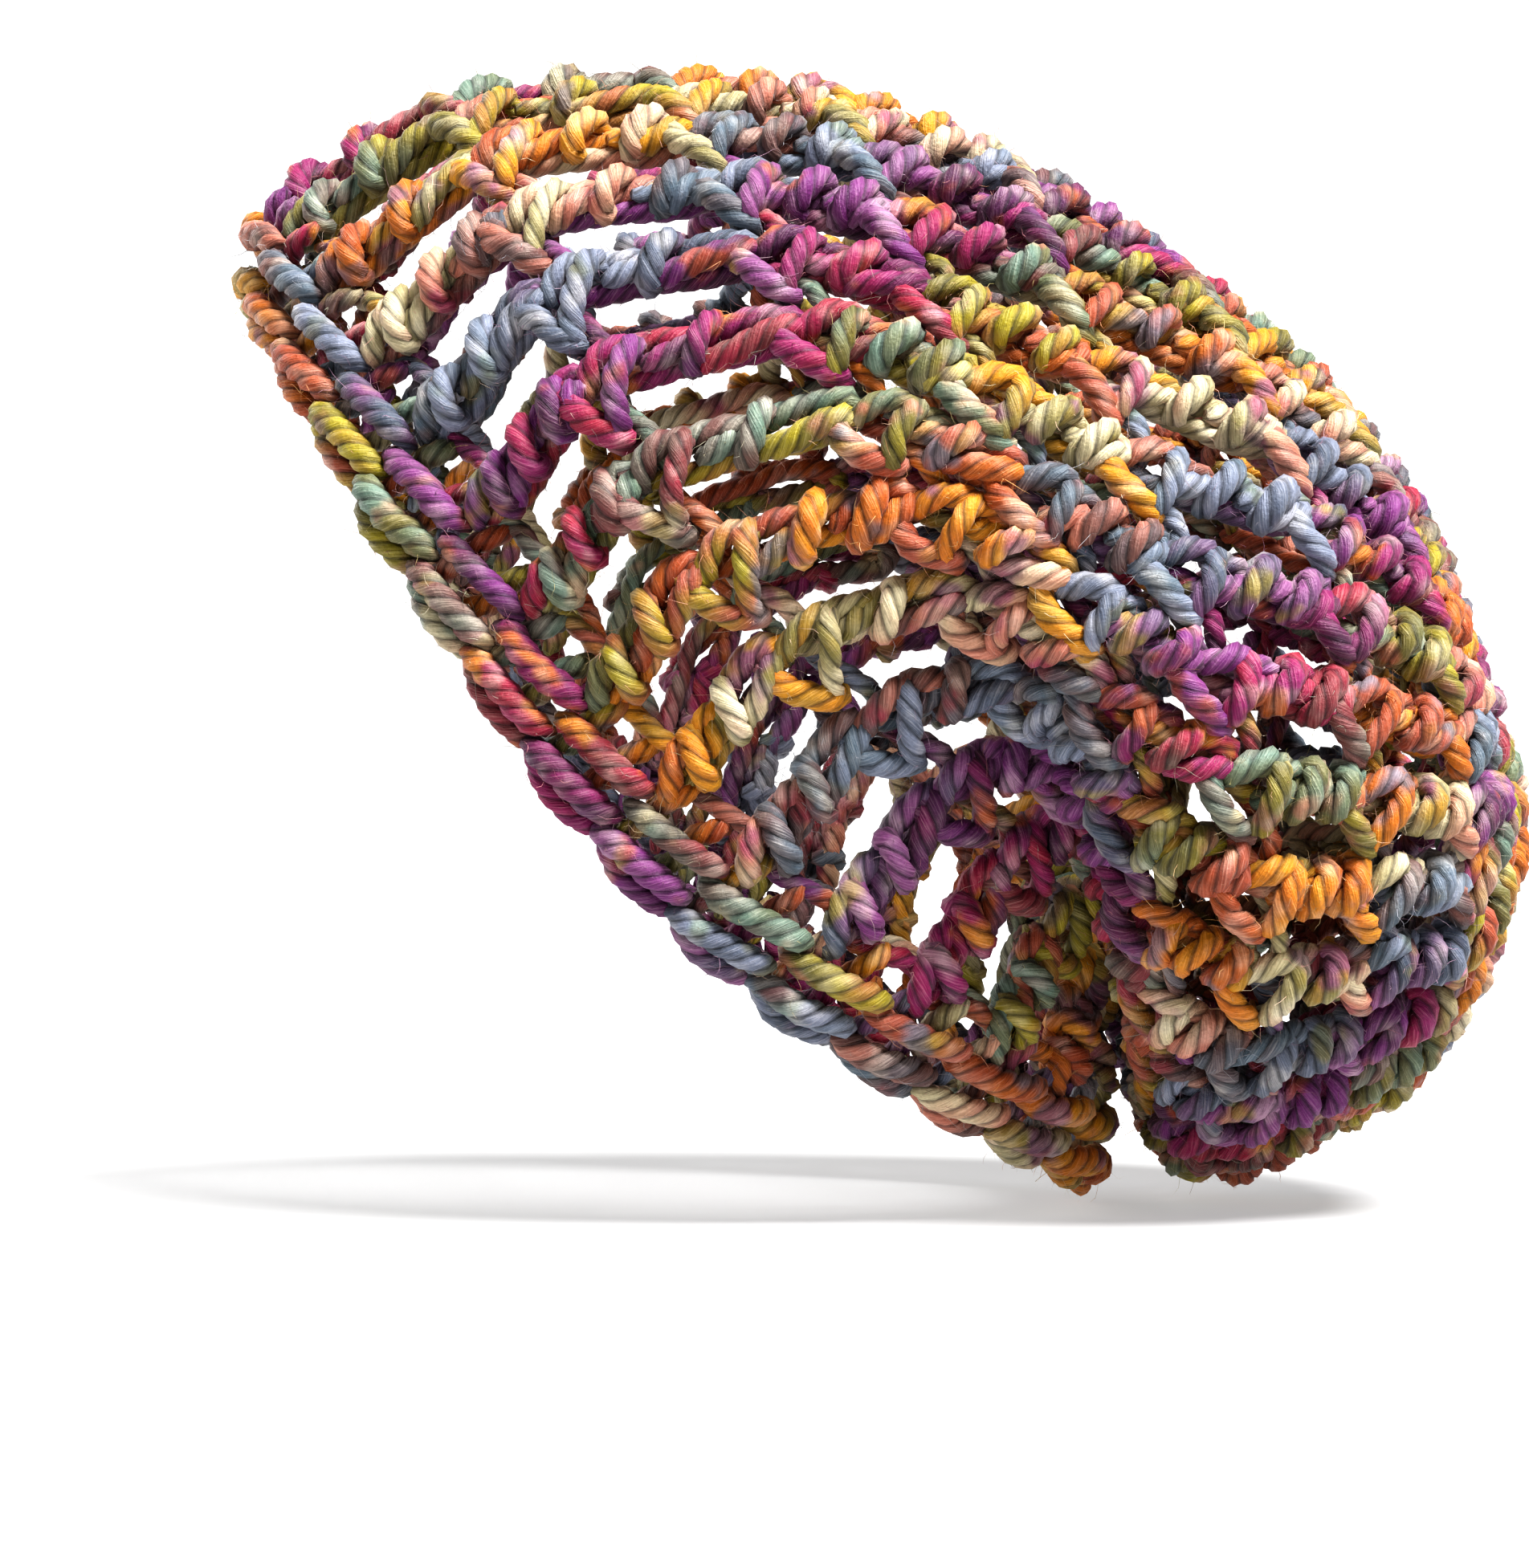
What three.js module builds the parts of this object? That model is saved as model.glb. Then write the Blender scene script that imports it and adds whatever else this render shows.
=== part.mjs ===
// Crochet slouchy hat: a two-row brim band, seven rounds of tall open stitches, and a crown that is drawn in
// to a small ring. The bag hangs behind and folds in above the back of the brim.
// Millimetres, +Z up. The front is towards -Y and the hat's own left is +X. The hat is symmetric about
// X = 0. The origin is on the inside of the top, where the hat is carried.
import * as THREE from "three";

// Driving sizes
const WALL = 9; // the crocheted fabric is nearly as thick as two strands of its yarn
const GAP = 0.3; // between one round and the next
const AROUND = 48; // facets around a round
const FACET = 10; // a facet along a round is no longer than this
const CLOSURE_RISE = 1.5; // how far the closing stitches stand proud of the crown

// Sections of the outer form, from the brim to the crown
// Each row is the closed line on which one round ends and the next starts. Its y and z are given at five even
// angles, from the middle of the front round the side to the middle of the back. half is its half width at
// the side, and fore and aft are its half widths at those stations as shares of half.
const STATIONS = ["front", "fore", "side", "aft", "back"];
const COLUMNS = [...STATIONS.flatMap((station) => [`${station}Y`, `${station}Z`]), "half", "fore", "aft"];
const SECTION_ROWS = [
  [-77, -36, -51, -74, -3, -144, 62, -198, 101, -217, 84, 0.76, 0.72],
  [-70, -17, -38, -63, 9, -133, 72, -186, 103, -202, 87, 0.77, 0.72],
  [-33, 5, -15, -33, 25, -102, 83, -156, 101, -187, 95, 0.77, 0.66],
  [12, 9, 27, -26, 61, -88, 90, -147, 105, -180, 100, 0.76, 0.66],
  [49, 5, 59, -31, 87, -99, 101, -170, 108, -205, 103, 0.76, 0.73],
  [85, -10, 92, -44, 114, -113, 124, -181, 122, -217, 101, 0.76, 0.76],
  [117, -31, 130, -60, 144, -118, 149, -178, 147, -208, 88, 0.75, 0.76],
  [147, -56, 156, -78, 168, -126, 169, -175, 166, -195, 66, 0.74, 0.74],
  [168, -88, 170, -99, 177, -131, 181, -157, 180, -168, 38, 0.72, 0.72],
  [180, -122, 182, -126, 184, -136, 185, -146, 185, -150, 14, 0.71, 0.71],
];
const SECTIONS = SECTION_ROWS.map((row) => Object.fromEntries(COLUMNS.map((name, i) => [name, row[i]])));

// The rounds in the order in which they sit, each between two sections. The brim's rows share the first one.
const BAND_ROW = 0.5;
const ROUNDS = [
  { name: "brim_edge_row", foot: 0, head: BAND_ROW, colour: 0x6b3350 },
  { name: "brim_band_row", foot: BAND_ROW, head: 1, colour: 0x8a4a5a },
  { name: "mesh_round_1", foot: 1, head: 2, colour: 0xa8743c },
  { name: "mesh_round_2", foot: 2, head: 3, colour: 0x9a4f74 },
  { name: "mesh_round_3", foot: 3, head: 4, colour: 0x94865c },
  { name: "mesh_round_4", foot: 4, head: 5, colour: 0xa37a58 },
  { name: "mesh_round_5", foot: 5, head: 6, colour: 0xb08a3e },
  { name: "mesh_round_6", foot: 6, head: 7, colour: 0x7d7488 },
  { name: "mesh_round_7", foot: 7, head: 8, colour: 0x9c8a62 },
  { name: "crown_round", foot: 8, head: 9, colour: 0x8c6a78 },
];
const CLOSURE = { name: "crown_closure", colour: 0xa58a4a };
const YARN_ROUGHNESS = 0.9;

const HALF_TURN = Math.PI;
const LAST = STATIONS.length - 1;

// The cosine waves whose sum passes through one value at each station, so that a section is smooth and closed
function cosineWaves(values) {
  return values.map((_, wave) => {
    let sum = 0;
    values.forEach((value, station) => {
      const weight = station === 0 || station === LAST ? 0.5 : 1;
      sum += weight * value * Math.cos((wave * station * HALF_TURN) / LAST);
    });
    return (wave === 0 || wave === LAST ? 1 : 2) * (sum / LAST);
  });
}

// The sine waves that pass through the half widths at fore, side and aft, and through 0 on the middle plane
function sineWaves(fore, side, aft) {
  const both = (fore + aft) / (2 * Math.SQRT1_2);
  return [(both + side) / 2, (fore - aft) / 2, (both - side) / 2];
}

const WAVES = SECTIONS.map((section) => ({
  x: sineWaves(section.fore * section.half, section.half, section.aft * section.half),
  y: cosineWaves(STATIONS.map((station) => section[`${station}Y`])),
  z: cosineWaves(STATIONS.map((station) => section[`${station}Z`])),
}));

// A point of one section, at an angle that runs from 0 at the front to half a turn at the back
function sectionPoint({ x, y, z }, angle) {
  const cosines = (waves) => waves.reduce((sum, size, wave) => sum + size * Math.cos(wave * angle), 0);
  const sines = x.reduce((sum, size, wave) => sum + size * Math.sin((wave + 1) * angle), 0);
  return new THREE.Vector3(sines, cosines(y), cosines(z));
}

// The line that climbs from the brim to the crown at one angle
function climb(angle) {
  const points = WAVES.map((waves) => sectionPoint(waves, angle));
  return new THREE.CatmullRomCurve3(points, false, "catmullrom", 0.5);
}

// A point of the outer form at an angle and a level, with its outward normal and the way up the fabric,
// square to the round. Level 0 is the brim's edge, and each whole level is one section further up.
const NUDGE = 0.01;
const TOP = SECTIONS.length - 1;
function fabricAt(angle, level) {
  const line = climb(angle);
  const inside = THREE.MathUtils.clamp(level, NUDGE, TOP - NUDGE);
  const rise = line.getPoint((inside + NUDGE) / TOP).sub(line.getPoint((inside - NUDGE) / TOP));
  const before = climb(angle - NUDGE).getPoint(level / TOP);
  const round = climb(angle + NUDGE).getPoint(level / TOP).sub(before);
  const normal = round.clone().cross(rise).normalize();
  return { point: line.getPoint(level / TOP), normal, up: normal.clone().cross(round).normalize() };
}

// The outer and inner line of the wall at a level, moved along the fabric by shift
function wallLine(level, shift) {
  const outer = [];
  const inner = [];
  for (let facet = 0; facet < AROUND; facet += 1) {
    const { point, normal, up } = fabricAt((2 * HALF_TURN * facet) / AROUND, level);
    outer.push(point.addScaledVector(up, shift));
    inner.push(point.clone().addScaledVector(normal, -WALL));
  }
  return { outer, inner };
}

// The middle of some points
function middleOf(points) {
  return points.reduce((sum, point) => sum.add(point), new THREE.Vector3()).divideScalar(points.length);
}

// A mesh from numbered points and triangles, whose own origin is at the middle of its points
function makeMesh(name, colour, points, triangles) {
  const middle = middleOf(points);
  const places = points.flatMap((point) => point.clone().sub(middle).toArray());
  const geometry = new THREE.BufferGeometry();
  geometry.setAttribute("position", new THREE.Float32BufferAttribute(places, 3));
  geometry.setIndex(triangles);
  geometry.computeVertexNormals();
  const yarn = new THREE.MeshStandardMaterial({ color: colour, roughness: YARN_ROUGHNESS, metalness: 0 });
  const mesh = new THREE.Mesh(geometry, yarn);
  mesh.name = name;
  mesh.position.copy(middle);
  return mesh;
}

// Two triangles for each step around, between the line of points from low and the line from high. Turned
// over, they face the other way across the same diagonals, so that neighbouring rounds match.
function band(triangles, low, high, turned = false) {
  for (let facet = 0; facet < AROUND; facet += 1) {
    const next = (facet + 1) % AROUND;
    const corners = [low + facet, low + next, high + next, low + facet, high + next, high + facet];
    triangles.push(...(turned ? corners.reverse() : corners));
  }
}

// One round: a closed ring of wall from its foot to its head, half a gap short of each neighbour
function makeRound({ name, foot, head, colour }) {
  const length = fabricAt(HALF_TURN / 2, foot).point.distanceTo(fabricAt(HALF_TURN / 2, head).point);
  const steps = Math.max(1, Math.ceil(length / FACET));
  const points = [];
  const triangles = [];
  const rows = steps + 1;
  const lines = Array.from({ length: rows }, (_, row) => {
    const shift = row === 0 ? GAP / 2 : row === steps ? -GAP / 2 : 0;
    return wallLine(foot + ((head - foot) * row) / steps, shift);
  });
  lines.forEach(({ outer }) => points.push(...outer));
  lines.forEach(({ inner }) => points.push(...inner));
  const innerStart = rows * AROUND;
  for (let row = 0; row < steps; row += 1) {
    band(triangles, row * AROUND, (row + 1) * AROUND);
    band(triangles, innerStart + (row + 1) * AROUND, innerStart + row * AROUND);
  }
  band(triangles, innerStart, 0);
  band(triangles, innerStart + steps * AROUND, steps * AROUND, true);
  return makeMesh(name, colour, points, triangles);
}

// The closure: a thick round pad that fills the drawn-in ring at the crown
function makeClosure({ name, colour }) {
  const { outer, inner } = wallLine(TOP, GAP / 2);
  const proud = middleOf(outer).add(new THREE.Vector3(0, CLOSURE_RISE, 0));
  const points = [...outer, ...inner, proud, middleOf(inner)];
  const innerStart = AROUND;
  const [outerMiddle, innerMiddle] = [points.length - 2, points.length - 1];
  const triangles = [];
  band(triangles, innerStart, 0);
  for (let facet = 0; facet < AROUND; facet += 1) {
    const next = (facet + 1) % AROUND;
    triangles.push(facet, next, outerMiddle);
    triangles.push(innerStart + next, innerStart + facet, innerMiddle);
  }
  return makeMesh(name, colour, points, triangles);
}

const hat = new THREE.Group();
const brim = new THREE.Group();
const bag = new THREE.Group();
ROUNDS.forEach((round) => (round.name.startsWith("brim") ? brim : bag).add(makeRound(round)));
bag.add(makeClosure(CLOSURE));
hat.add(brim, bag);

export default hat;
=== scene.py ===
"""Crochet slouchy hat in thick hand-dyed yarn: a two-row brim band, seven rounds of tall open stitches, a crown.

Metres, +Z up, the front towards -Y and the hat's own left towards +X. Every strand is a swept tube of three
twisted plies, laid along the lines of the hat's form, which repeats the sections of the solid parts.
"""

from __future__ import annotations

import logging
import math
from dataclasses import dataclass, field
from enum import Enum
from typing import Any, Iterable, NamedTuple, Sequence

import bpy
import numpy as np
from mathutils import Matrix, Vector

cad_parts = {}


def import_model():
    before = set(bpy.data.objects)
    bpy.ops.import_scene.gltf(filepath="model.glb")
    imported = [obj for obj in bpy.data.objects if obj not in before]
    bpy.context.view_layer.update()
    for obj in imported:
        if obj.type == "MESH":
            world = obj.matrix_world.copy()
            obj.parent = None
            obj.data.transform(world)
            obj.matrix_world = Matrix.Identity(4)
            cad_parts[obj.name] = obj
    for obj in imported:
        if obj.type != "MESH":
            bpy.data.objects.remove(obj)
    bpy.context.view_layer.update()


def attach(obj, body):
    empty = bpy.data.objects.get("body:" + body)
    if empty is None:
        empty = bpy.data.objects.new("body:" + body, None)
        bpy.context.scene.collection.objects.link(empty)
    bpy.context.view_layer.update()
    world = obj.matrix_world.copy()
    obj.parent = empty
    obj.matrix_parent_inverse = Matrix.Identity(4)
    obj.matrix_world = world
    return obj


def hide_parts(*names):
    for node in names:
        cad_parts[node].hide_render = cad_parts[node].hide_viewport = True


LOG = logging.getLogger("slouchy_hat")
MM = 0.001
TURN = 2 * math.pi
STRAND_MAP = "strand"  # the UV map: the place on the dyed yarn in metres, and the share of a turn round the strand
FIBRE_MARK = 2.0  # added to the second coordinate of loose fibres, which are paler than the yarn
FIBRE_FACES = ([0, 1, 3, 2], [2, 3, 5, 4], [4, 5, 6])  # the corners of a loose fibre's faces, from its root
DYE_REPEAT = 1.3  # the length of yarn after which its dye baths come round again, in metres
NEAR_GAP = 22.3  # the usual distance from one stitch to the next, in millimetres
ASKEW = np.array([0.31, 0.52, 0.79])  # a direction that no strand starts in

Points = Sequence[Sequence[float]]  # the given (along, across, out) points of a strand, in millimetres
Colour = tuple[float, float, float, float]
WHITE = (1.0, 1.0, 1.0, 1.0)


# ---- the form of the hat ----


class Place(Enum):
    """The sides of a strand's own line, in the order in which stitch points name them."""

    ALONG = 0
    ACROSS = 1
    OUT = 2


def unit(rows: np.ndarray) -> np.ndarray:
    """Scale each row to length one."""
    return rows / np.maximum(np.linalg.norm(rows, axis=-1, keepdims=True), 1e-12)


def distances(points: np.ndarray) -> np.ndarray:
    """How far along a path each of its points is."""
    return np.concatenate([[0.0], np.cumsum(np.linalg.norm(np.diff(points, axis=0), axis=1))])


def read_rows(at: np.ndarray, marks: np.ndarray, rows: np.ndarray) -> np.ndarray:
    """Read rows that belong to marks along a path at other places on it."""
    return np.stack([np.interp(at, marks, rows[:, i]) for i in range(3)], axis=1)


def smooth_leg(four: Sequence[np.ndarray], share: np.ndarray) -> np.ndarray:
    """Go smoothly from the second of four points to the third, steered by the outer two.

    Args:
        four: the points, or rows of them.
        share: how far to go, from 0 to 1.

    Returns:
        The points on the way.
    """
    p0, p1, p2, p3 = four
    start, end = (p2 - p0) / 2, (p3 - p1) / 2
    cubic = (2 * p1 - 2 * p2 + start + end) * share**3 + (3 * p2 - 3 * p1 - 2 * start - end) * share**2
    return cubic + start * share + p1


def smooth(points: Points, per_leg: int = 7) -> np.ndarray:
    """Draw a smooth path through given points.

    Args:
        points: the places that the path passes through.
        per_leg: how many steps each stretch gets.

    Returns:
        The path's points, one per row.
    """
    knots = np.array(points, float)
    knots = np.vstack([2 * knots[0] - knots[1], knots, 2 * knots[-1] - knots[-2]])
    share = np.linspace(0, 1, per_leg, endpoint=False)[:, None]
    legs = [smooth_leg(four, share) for four in zip(knots[:-3], knots[1:-2], knots[2:-1], knots[3:])]
    return np.vstack([*legs, knots[-2:-1]])


@dataclass
class SmoothLine:
    """A line on the fabric with the way out of the fabric at each of its points.

    Attributes:
        points: places along the line, in metres.
        normals: the way out of the fabric at each place.
        closed: whether the line runs round the hat and meets itself.
    """

    points: np.ndarray
    normals: np.ndarray
    closed: bool = False

    def __post_init__(self) -> None:
        """Measure the line and find its tangents."""
        self.marks = distances(self.points)
        self.length = float(self.marks[-1])
        if self.closed:
            ring = self.points[:-1]
            inner = np.roll(ring, -1, axis=0) - np.roll(ring, 1, axis=0)
            tangents = np.vstack([inner, inner[:1]])
        else:
            tangents = np.gradient(self.points, axis=0)
        self.tangents = unit(tangents)
        self.sides = unit(np.cross(self.normals, self.tangents))

    def place(self, local: np.ndarray) -> np.ndarray:
        """Turn (along, across, out) points in millimetres into places in metres.

        Args:
            local: points on this line, one per row.

        Returns:
            The same points in the hat's own frame.
        """
        along = local[:, Place.ALONG.value] * MM
        if self.closed:
            along = np.mod(along, self.length)
        base = read_rows(along, self.marks, self.points)
        side = unit(read_rows(along, self.marks, self.sides))
        out = unit(read_rows(along, self.marks, self.normals))
        if not self.closed:
            ahead = unit(read_rows(along, self.marks, self.tangents))
            spare = along - np.clip(along, 0.0, self.length)
            base = base + ahead * spare[:, None]
        across = local[:, Place.ACROSS.value, None] * MM
        return base + side * across + out * local[:, Place.OUT.value, None] * MM


@dataclass
class HatForm:
    """The outer form of the hat, as sections from the brim's edge (level 0) to the drawn-in crown (level 9).

    Attributes:
        stations: how many even angles a section is given at, from the middle of the front to that of the back.
        sections: a row each, in millimetres: y and z at every station, then the half width at the side, and
            the half widths at the stations before and behind it as shares of that one.
        sink: how deep under the outer form the middle of the fabric is, in millimetres.
        nudge: the small step, in radians and in levels, over which slopes are measured.
    """

    stations: int = 5
    sections: tuple[tuple[float, ...], ...] = (
        (-77, -36, -51, -74, -3, -144, 62, -198, 101, -217, 84, 0.76, 0.72),
        (-70, -17, -38, -63, 9, -133, 72, -186, 103, -202, 87, 0.77, 0.72),
        (-33, 5, -15, -33, 25, -102, 83, -156, 101, -187, 95, 0.77, 0.66),
        (12, 9, 27, -26, 61, -88, 90, -147, 105, -180, 100, 0.76, 0.66),
        (49, 5, 59, -31, 87, -99, 101, -170, 108, -205, 103, 0.76, 0.73),
        (85, -10, 92, -44, 114, -113, 124, -181, 122, -217, 101, 0.76, 0.76),
        (117, -31, 130, -60, 144, -118, 149, -178, 147, -208, 88, 0.75, 0.76),
        (147, -56, 156, -78, 168, -126, 169, -175, 166, -195, 66, 0.74, 0.74),
        (168, -88, 170, -99, 177, -131, 181, -157, 180, -168, 38, 0.72, 0.72),
        (180, -122, 182, -126, 184, -136, 185, -146, 185, -150, 14, 0.71, 0.71),
    )
    sink: float = 4.6
    nudge: float = 0.01

    def __post_init__(self) -> None:
        """Work out the waves whose sums pass through the sections' stations."""
        table = np.array(self.sections, float)
        self.top = len(table) - 1
        station, last = np.arange(self.stations), self.stations - 1
        at_end = (station == 0) | (station == last)
        weight = np.where(at_end, 0.5, 1.0)
        share = np.where(at_end, 1.0, 2.0) / last
        waves = np.cos(np.outer(station, station) * math.pi / last)
        places = table[:, : 2 * self.stations]
        self.cosines = [share * ((places[:, axis::2] * weight) @ waves) for axis in (0, 1)]
        half, fore, aft = table[:, 2 * self.stations :].T
        both = (fore * half + aft * half) / (2 * math.sqrt(0.5))
        self.sines = np.stack([(both + half) / 2, (fore * half - aft * half) / 2, (both - half) / 2], axis=1)

    def outer(self, angle: np.ndarray, level: np.ndarray) -> np.ndarray:
        """The outer form at angles round the hat and levels up it.

        Args:
            angle: radians, 0 in the middle of the front and half a turn at the back.
            level: the section number, whole or part.

        Returns:
            One place in metres per angle.
        """
        angle, level = np.broadcast_arrays(np.asarray(angle, float), np.asarray(level, float))
        cosine = np.cos(angle[:, None] * np.arange(self.stations))
        sine = np.sin(angle[:, None] * np.arange(1, self.stations - 1))
        rings = np.stack([sine @ self.sines.T, cosine @ self.cosines[0].T, cosine @ self.cosines[1].T], axis=2)
        first, last = 2 * rings[:, :1] - rings[:, 1:2], 2 * rings[:, -1:] - rings[:, -2:-1]
        rings = np.concatenate([first, rings, last], axis=1)
        leg = np.clip(np.floor(level), 0, self.top - 1).astype(int)
        rows = np.arange(len(angle))
        return smooth_leg([rings[rows, leg + i] for i in range(4)], (level - leg)[:, None]) * MM

    def normal(self, angle: np.ndarray, level: np.ndarray) -> np.ndarray:
        """The way out of the fabric.

        Args:
            angle: radians round the hat.
            level: the section number, whole or part.

        Returns:
            One direction per angle, of length one.
        """
        level = np.clip(level, self.nudge, self.top - self.nudge)
        climb = self.outer(angle, level + self.nudge) - self.outer(angle, level - self.nudge)
        return unit(np.cross(self.onward(angle, level), climb))

    def onward(self, angle: np.ndarray, level: np.ndarray) -> np.ndarray:
        """The way round the hat at angles and levels, over a small step."""
        return self.outer(angle + self.nudge, level) - self.outer(angle - self.nudge, level)

    def line(self, angle: np.ndarray, level: np.ndarray, closed: bool = False) -> SmoothLine:
        """A line in the middle of the fabric through angles and levels."""
        out = self.normal(angle, level)
        return SmoothLine(self.outer(angle, level) - out * self.sink * MM, out, closed)

    def ring(self, level: float, samples: int = 361) -> tuple[SmoothLine, np.ndarray]:
        """A closed line round the hat at a level, with the angle of each of its points."""
        angle = np.linspace(0, TURN, samples)
        return self.line(angle, np.full(samples, float(level)), closed=True), angle

    def spots(self, level: float, count: int, shift: float) -> np.ndarray:
        """Angles of evenly spaced stitches on a level, measured along the fabric.

        Args:
            level: the section number.
            count: how many stitches stand on it.
            shift: where the first one stands, in stitches from the middle of the front.

        Returns:
            One angle per stitch, growing round the hat.
        """
        ring, angle = self.ring(level)
        return np.interp((np.arange(count) + shift) / count * ring.length, ring.marks, angle)

    def marks(self, level: float, count: int, shift: float) -> tuple[SmoothLine, np.ndarray]:
        """The ring on a level, and how far along it each of its stitches stands, in millimetres."""
        ring, angle = self.ring(level)
        return ring, np.interp(self.spots(level, count, shift), angle, ring.marks) / MM


# ---- the yarn ----


@dataclass(frozen=True)
class PliedYarn:
    """The yarn: three soft plies, twisted the way of the letter S.

    Attributes:
        radius: of the round strand, in millimetres.
        lay: the length of one full turn of the plies.
        plies: how many there are.
        lobe_angles: where the points of one ply's rounded back lie, in degrees from its groove.
        lobe_radii: how far out those points are, as shares of the radius.
        crest: which of those points is the top of the ply.
        step: the distance from one ring of points to the next.
        tip_radii: how thin the first rings of a strand are, as shares of its radius.
        taper_radius: how thin a tapered end is, as a share of the strand's radius.
        fluff_each_mm: how many loose fibres a millimetre of strand has.
        fluff_length: the shortest and the longest of them.
        fluff_rarity: how much rarer long ones are than short ones.
        fluff_curl: how far a fibre turns aside at each knot.
        fluff_width: how wide a fibre is drawn at its root.
        fluff_thinning: its width at its first knots, as shares of that.
    """

    radius: float = 2.58
    lay: float = 13.0
    plies: int = 3
    lobe_angles: tuple[float, ...] = (0, 23, 60, 97)
    lobe_radii: tuple[float, ...] = (0.79, 0.96, 1.05, 0.96)
    crest: int = 2
    step: float = 2.05
    tip_radii: tuple[float, ...] = (0.45, 0.84)
    taper_radius: float = 0.45
    fluff_each_mm: float = 1.1
    fluff_length: tuple[float, float] = (1.4, 6.5)
    fluff_rarity: float = 2.2
    fluff_curl: float = 0.7
    fluff_width: float = 0.1
    fluff_thinning: tuple[float, ...] = (1.0, 0.85, 0.6)

    @property
    def columns(self) -> int:
        """How many points one ring has."""
        return self.plies * len(self.lobe_angles)

    def section(self) -> tuple[np.ndarray, np.ndarray]:
        """The angles and radii of one ring of points.

        Returns:
            Radians round the ring, and shares of the strand's radius.
        """
        lobes = np.radians(np.array(self.lobe_angles))
        angles = np.concatenate([lobes + TURN * ply / self.plies for ply in range(self.plies)])
        return angles, np.tile(np.array(self.lobe_radii), self.plies)


@dataclass
class Strand:
    """One stretch of yarn.

    Attributes:
        path: its middle line in metres.
        thick: its radius as a share of the yarn's.
        dye: where it starts on the dyed yarn, in metres.
        turned: the turn of its plies at the start, in radians.
        taper: the length over which its ends run thin, in millimetres.
    """

    path: np.ndarray
    thick: float
    dye: float
    turned: float
    taper: float = 0.0


@dataclass
class Skein:
    """Strands that are gathered and made into one mesh."""

    yarn: PliedYarn
    strands: list[Strand] = field(default_factory=list)

    def add(
        self,
        line: SmoothLine,
        points: Points,
        dye: float,
        random: np.random.Generator,
        thick: float = 1.0,
        taper: float = 0.0,
    ) -> None:
        """Lay one strand along a line of the fabric.

        Args:
            line: the line whose (along, across, out) the points are given in.
            points: the strand's given points, in millimetres.
            dye: where the strand starts on the dyed yarn, in metres.
            random: the piece's own source of small differences.
            thick: its radius as a share of the yarn's.
            taper: the length over which its ends run thin.
        """
        path = line.place(smooth(points))
        uneven = thick * (1 + 0.05 * random.standard_normal())
        self.strands.append(Strand(path, uneven, dye, random.uniform(0, TURN), taper))

    def make(self, name: str, random: np.random.Generator) -> bpy.types.Object:
        """Sweep every strand and join them in one object.

        Args:
            name: the piece's name.
            random: the piece's own source of small differences.

        Returns:
            The new object, with the strands' UV map.
        """
        groups: dict[int, list[tuple[Strand, np.ndarray, float]]] = {}
        for strand in self.strands:
            rings, length = self._even(strand.path)
            groups.setdefault(len(rings), []).append((strand, rings, length))
        places, walls, caps, wall_uvs, cap_uvs, plucked = [], [], [], [], [], []
        base = 0
        for count in sorted(groups):
            block, along = self._sweep(groups[count], count)
            for kept, part in zip((walls, caps, wall_uvs, cap_uvs), self._skin(along, base)):
                kept.append(part)
            places.append(block.reshape(-1, 3))
            plucked.append(self._pluck(block, along, random))
            base += len(places[-1])
        fibres, fibre_uvs = (np.concatenate(part) for part in zip(*plucked))
        places.append(fibres.reshape(-1, 3))
        first = base + np.arange(len(fibres))[:, None] * fibres.shape[1]
        return mesh_object(
            name,
            np.concatenate(places),
            [np.concatenate(walls), np.concatenate(caps), *(first + np.array([order]) for order in FIBRE_FACES)],
            np.concatenate([*wall_uvs, *cap_uvs, *(fibre_uvs[:, order].reshape(-1, 2) for order in FIBRE_FACES)]),
        )

    def _even(self, path: np.ndarray) -> tuple[np.ndarray, float]:
        """Set the middles of rings evenly along a path.

        Args:
            path: the middle line of a strand.

        Returns:
            The middles, one per row, and the path's length.
        """
        marks = distances(path)
        count = max(5, int(round(marks[-1] / (self.yarn.step * MM))) + 1)
        return read_rows(np.linspace(0, marks[-1], count), marks, path), float(marks[-1])

    def _sweep(self, members: Sequence[tuple[Strand, np.ndarray, float]], count: int) -> tuple[np.ndarray, np.ndarray]:
        """Put the plied section at every ring of strands that have the same number of rings.

        Args:
            members: the strands with their even rings and lengths.
            count: how many rings each has.

        Returns:
            The points as (strand, ring, column, xyz), and the place on the dyed yarn as (strand, ring).
        """
        rings = np.stack([even for _, even, _ in members])
        tangents = unit(np.gradient(rings, axis=1))
        sides = [unit(np.cross(tangents[:, 0], ASKEW))]
        for ring in range(1, count):
            flat = sides[-1] - tangents[:, ring] * np.sum(sides[-1] * tangents[:, ring], axis=1, keepdims=True)
            sides.append(unit(flat))
        side = np.stack(sides, axis=1)
        other = np.cross(tangents, side)
        facts = [(strand.thick, strand.dye, strand.turned, strand.taper, length) for strand, _, length in members]
        thick, dye, turned, taper, length = np.array(facts).T[:, :, None]
        reach = length * np.linspace(0, 1, count)
        angles, radii = self.yarn.section()
        around = (turned - TURN * reach / (self.yarn.lay * MM))[:, :, None] + angles
        radius = thick * self.yarn.radius * MM * np.ones(count)
        for end, tip in enumerate(self.yarn.tip_radii):
            radius[:, [end, -1 - end]] *= tip
        thin = self.yarn.taper_radius
        near = np.clip(np.minimum(reach, length - reach) / np.maximum(taper * MM, 1e-6), 0, 1)
        radius = radius * np.where(taper > 0, thin + (1 - thin) * near**0.7, 1.0)
        out = radius[:, :, None] * radii
        circle = (
            side[:, :, None] * (np.cos(around) * out)[..., None] + other[:, :, None] * (np.sin(around) * out)[..., None]
        )
        return rings[:, :, None] + circle, dye + reach

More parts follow.
